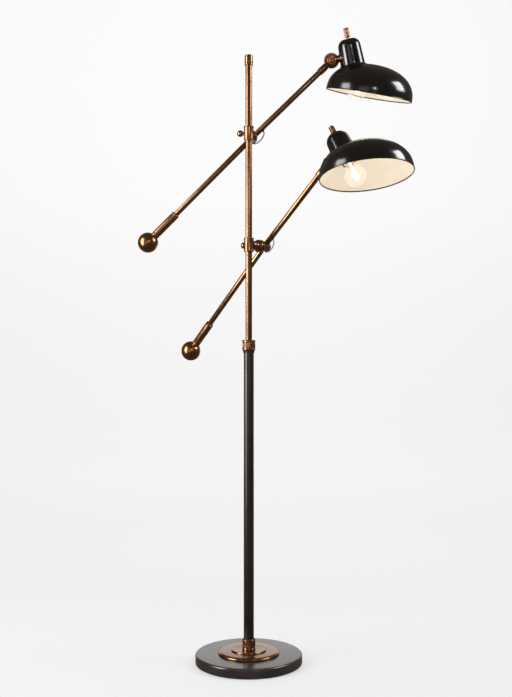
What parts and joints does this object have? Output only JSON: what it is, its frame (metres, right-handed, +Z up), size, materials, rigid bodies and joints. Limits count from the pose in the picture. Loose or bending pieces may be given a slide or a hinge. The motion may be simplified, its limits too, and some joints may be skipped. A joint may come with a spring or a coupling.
{
  "type": "adjustable arm floor lamp",
  "caption": "Floor lamp on a round weighted base, with counterbalanced swing arms that carry domed metal shades on knuckle joints.",
  "frame": {"origin": "centre of the base underside, on the pole axis", "axes": "+Z up along the pole, +X to the side the shades reach, +Y to the back"},
  "size_m": [0.8071, 0.6266, 1.8254],
  "materials": {
    "felt": "felt",
    "base_bronze": "satin dark bronze lacquer",
    "steel": "plain zinc plated",
    "aged_brass": "aged brass, clear lacquer",
    "pole_black": "satin dark bronze",
    "black_plastic": "moulded",
    "lead_jacket": "smooth, slightly clear",
    "rubber": "matte",
    "shade_enamel": "gloss black outside, cream inside",
    "porcelain": "glazed",
    "bulb_cap": "bright",
    "bulb_glass": "clear bulb, lit"
  },
  "bodies": {
    "stand": {"felt_pad": "felt", "base_disc": "base_bronze", "base_nut": "steel", "base_nipple": "steel", "base_plate": "aged_brass", "base_step": "aged_brass", "base_ferrule": "aged_brass", "cord_gland": "black_plastic", "lower_pole": "pole_black", "pole_collar": "aged_brass", "upper_pole": "aged_brass", "pole_cap": "aged_brass"},
    "upper_swivel": {"upper_sleeve": "aged_brass", "upper_hub_bolt": "aged_brass", "upper_hub_washer": "black_plastic"},
    "upper_lock": {"upper_lock_knob": "aged_brass"},
    "upper_arm": {"upper_hub": "aged_brass", "upper_front_tube": "aged_brass", "upper_rear_tube": "aged_brass", "upper_grip": "aged_brass", "upper_ball": "aged_brass", "upper_end_ferrule": "aged_brass", "upper_lead": "lead_jacket", "upper_grommets": "rubber"},
    "upper_knuckle": {"upper_yoke": "aged_brass", "upper_knuckle_washer": "black_plastic", "upper_knuckle_screw": "aged_brass"},
    "upper_head": {"upper_bracket": "aged_brass", "upper_shade": "shade_enamel", "upper_socket_plate": "steel", "upper_socket_shell": "aged_brass", "upper_socket_core": "porcelain", "upper_bulb_cap": "bulb_cap", "upper_bulb_glass": "bulb_glass"},
    "upper_switch": {"upper_switch_knob": "aged_brass"},
    "lower_swivel": {"lower_sleeve": "aged_brass", "lower_hub_bolt": "aged_brass", "lower_hub_washer": "black_plastic"},
    "lower_lock": {"lower_lock_knob": "aged_brass"},
    "lower_arm": {"lower_hub": "aged_brass", "lower_front_tube": "aged_brass", "lower_rear_tube": "aged_brass", "lower_grip": "aged_brass", "lower_ball": "aged_brass", "lower_end_ferrule": "aged_brass", "lower_lead": "lead_jacket", "lower_grommets": "rubber"},
    "lower_knuckle": {"lower_yoke": "aged_brass", "lower_knuckle_washer": "black_plastic", "lower_knuckle_screw": "aged_brass"},
    "lower_head": {"lower_bracket": "aged_brass", "lower_shade": "shade_enamel", "lower_socket_plate": "steel", "lower_socket_shell": "aged_brass", "lower_socket_core": "porcelain", "lower_bulb_cap": "bulb_cap", "lower_bulb_glass": "bulb_glass"},
    "lower_switch": {"lower_switch_knob": "aged_brass"}
  },
  "joints": [
    {"name": "upper_arm_swivel", "type": "hinge", "parent": "stand", "child": "upper_swivel", "pos_m": [0, 0, 1.515], "axis": [0, 0, 1], "range_deg": [-90, 90]},
    {"name": "upper_lock_turn", "type": "hinge", "parent": "upper_swivel", "child": "upper_lock", "pos_m": [0, 0, 1.515], "axis": [-0.9921, 0.1253, 0], "range_deg": [-30, 330]},
    {"name": "upper_arm_tilt", "type": "hinge", "parent": "upper_swivel", "child": "upper_arm", "pos_m": [0.00827, 0.06548, 1.515], "axis": [-0.1253, -0.9921, 0], "range_deg": [-70, 25]},
    {"name": "upper_head_swivel", "type": "hinge", "parent": "upper_arm", "child": "upper_knuckle", "pos_m": [0.24008, 0.03619, 1.73365], "axis": [0.7244, -0.0915, 0.6833], "range_deg": [-75, 75]},
    {"name": "upper_head_tilt", "type": "hinge", "parent": "upper_knuckle", "child": "upper_head", "pos_m": [0.24008, 0.03619, 1.73365], "axis": [0.0724, -0.9756, -0.2074], "range_deg": [-20, 60]},
    {"name": "upper_switch_turn", "type": "hinge", "parent": "upper_head", "child": "upper_switch", "pos_m": [0.2966, 0.03763, 1.74661], "axis": [-0.2128, -0.2182, 0.9524], "continuous": true},
    {"name": "lower_arm_swivel", "type": "hinge", "parent": "stand", "child": "lower_swivel", "pos_m": [0, 0, 1.196], "axis": [0, 0, 1], "range_deg": [-90, 90]},
    {"name": "lower_lock_turn", "type": "hinge", "parent": "lower_swivel", "child": "lower_lock", "pos_m": [0, 0, 1.196], "axis": [-0.565, 0.8251, 0], "range_deg": [-30, 330]},
    {"name": "lower_arm_tilt", "type": "hinge", "parent": "lower_swivel", "child": "lower_arm", "pos_m": [0.04467, 0.04858, 1.196], "axis": [-0.6769, -0.7361, 0], "range_deg": [-65, 25]},
    {"name": "lower_head_swivel", "type": "hinge", "parent": "lower_arm", "child": "lower_knuckle", "pos_m": [0.21972, -0.11238, 1.41012], "axis": [0.547, -0.503, 0.6691], "range_deg": [-75, 75]},
    {"name": "lower_head_tilt", "type": "hinge", "parent": "lower_knuckle", "child": "lower_head", "pos_m": [0.21972, -0.11238, 1.41012], "axis": [-0.7142, -0.6974, 0.0596], "range_deg": [-35, 50]},
    {"name": "lower_switch_turn", "type": "hinge", "parent": "lower_head", "child": "lower_switch", "pos_m": [0.25502, -0.14583, 1.44173], "axis": [-0.3457, 0.4255, 0.8363], "continuous": true}
  ]
}
